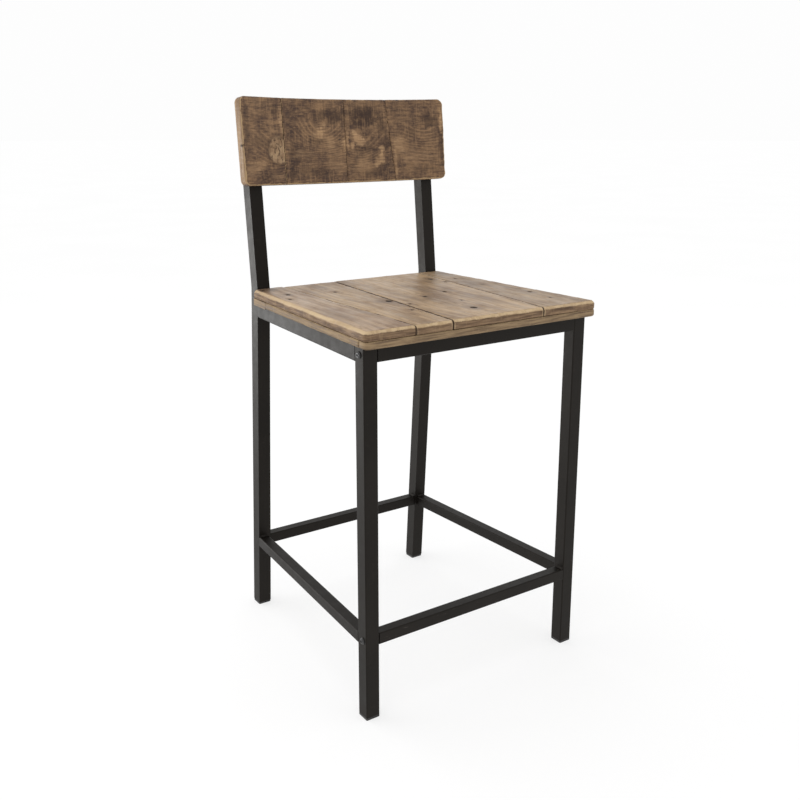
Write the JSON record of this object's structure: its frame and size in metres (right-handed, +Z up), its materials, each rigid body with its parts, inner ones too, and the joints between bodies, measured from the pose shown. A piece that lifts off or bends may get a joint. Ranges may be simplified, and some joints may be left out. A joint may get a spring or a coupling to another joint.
{
  "type": "bar stool with footrest",
  "caption": "Counter-height stool with a square-tube steel frame, footrest, plank seat and curved reclaimed-wood back board.",
  "frame": {"origin": "on the floor under the middle of the whole stool", "axes": "+Z up, front of the stool faces -Y, X across the seat"},
  "size_m": [0.4648, 0.491, 0.9886],
  "materials": {
    "frame_steel": "satin dark bronze-black powder coat",
    "weld_steel": "rough coated weld",
    "black_fixings": "black oxide",
    "plain_steel": "zinc plated",
    "black_plastic": "moulded",
    "seat_plank_1_wood": "worn reclaimed pine, satin lacquer",
    "seat_plank_2_wood": "worn reclaimed pine, satin lacquer",
    "seat_plank_3_wood": "worn reclaimed pine, satin lacquer",
    "seat_plank_4_wood": "worn reclaimed pine, satin lacquer",
    "batten_wood": "sawn pine",
    "back_board_1_wood": "dark stained reclaimed wood",
    "back_board_2_wood": "dark stained reclaimed wood",
    "back_board_3_wood": "dark stained reclaimed wood",
    "back_board_4_wood": "dark stained reclaimed wood"
  },
  "bodies": {
    "root": {"front_leg_left": "frame_steel", "front_leg_right": "frame_steel", "rear_leg_left": "frame_steel", "rear_leg_right": "frame_steel", "apron_front": "frame_steel", "apron_rear": "frame_steel", "apron_left": "frame_steel", "apron_right": "frame_steel", "footrest": "frame_steel", "stretcher_rear": "frame_steel", "stretcher_left": "frame_steel", "stretcher_right": "frame_steel", "weld_beads": "weld_steel", "frame_bolts": "black_fixings", "insert_nuts": "plain_steel", "foot_plug_front_left": "black_plastic", "foot_plug_front_right": "black_plastic", "foot_plug_rear_left": "black_plastic", "foot_plug_rear_right": "black_plastic", "post_caps": "black_plastic", "seat_plank_1": "seat_plank_1_wood", "seat_plank_2": "seat_plank_2_wood", "seat_plank_3": "seat_plank_3_wood", "seat_plank_4": "seat_plank_4_wood", "seat_edge_front": "batten_wood", "seat_batten_front": "batten_wood", "seat_batten_rear": "batten_wood", "seat_batten_left": "batten_wood", "seat_batten_right": "batten_wood", "seat_tabs": "frame_steel", "seat_screws": "plain_steel", "back_board_1": "back_board_1_wood", "back_board_2": "back_board_2_wood", "back_board_3": "back_board_3_wood", "back_board_4": "back_board_4_wood", "back_screws": "black_fixings"}
  },
  "joints": []
}
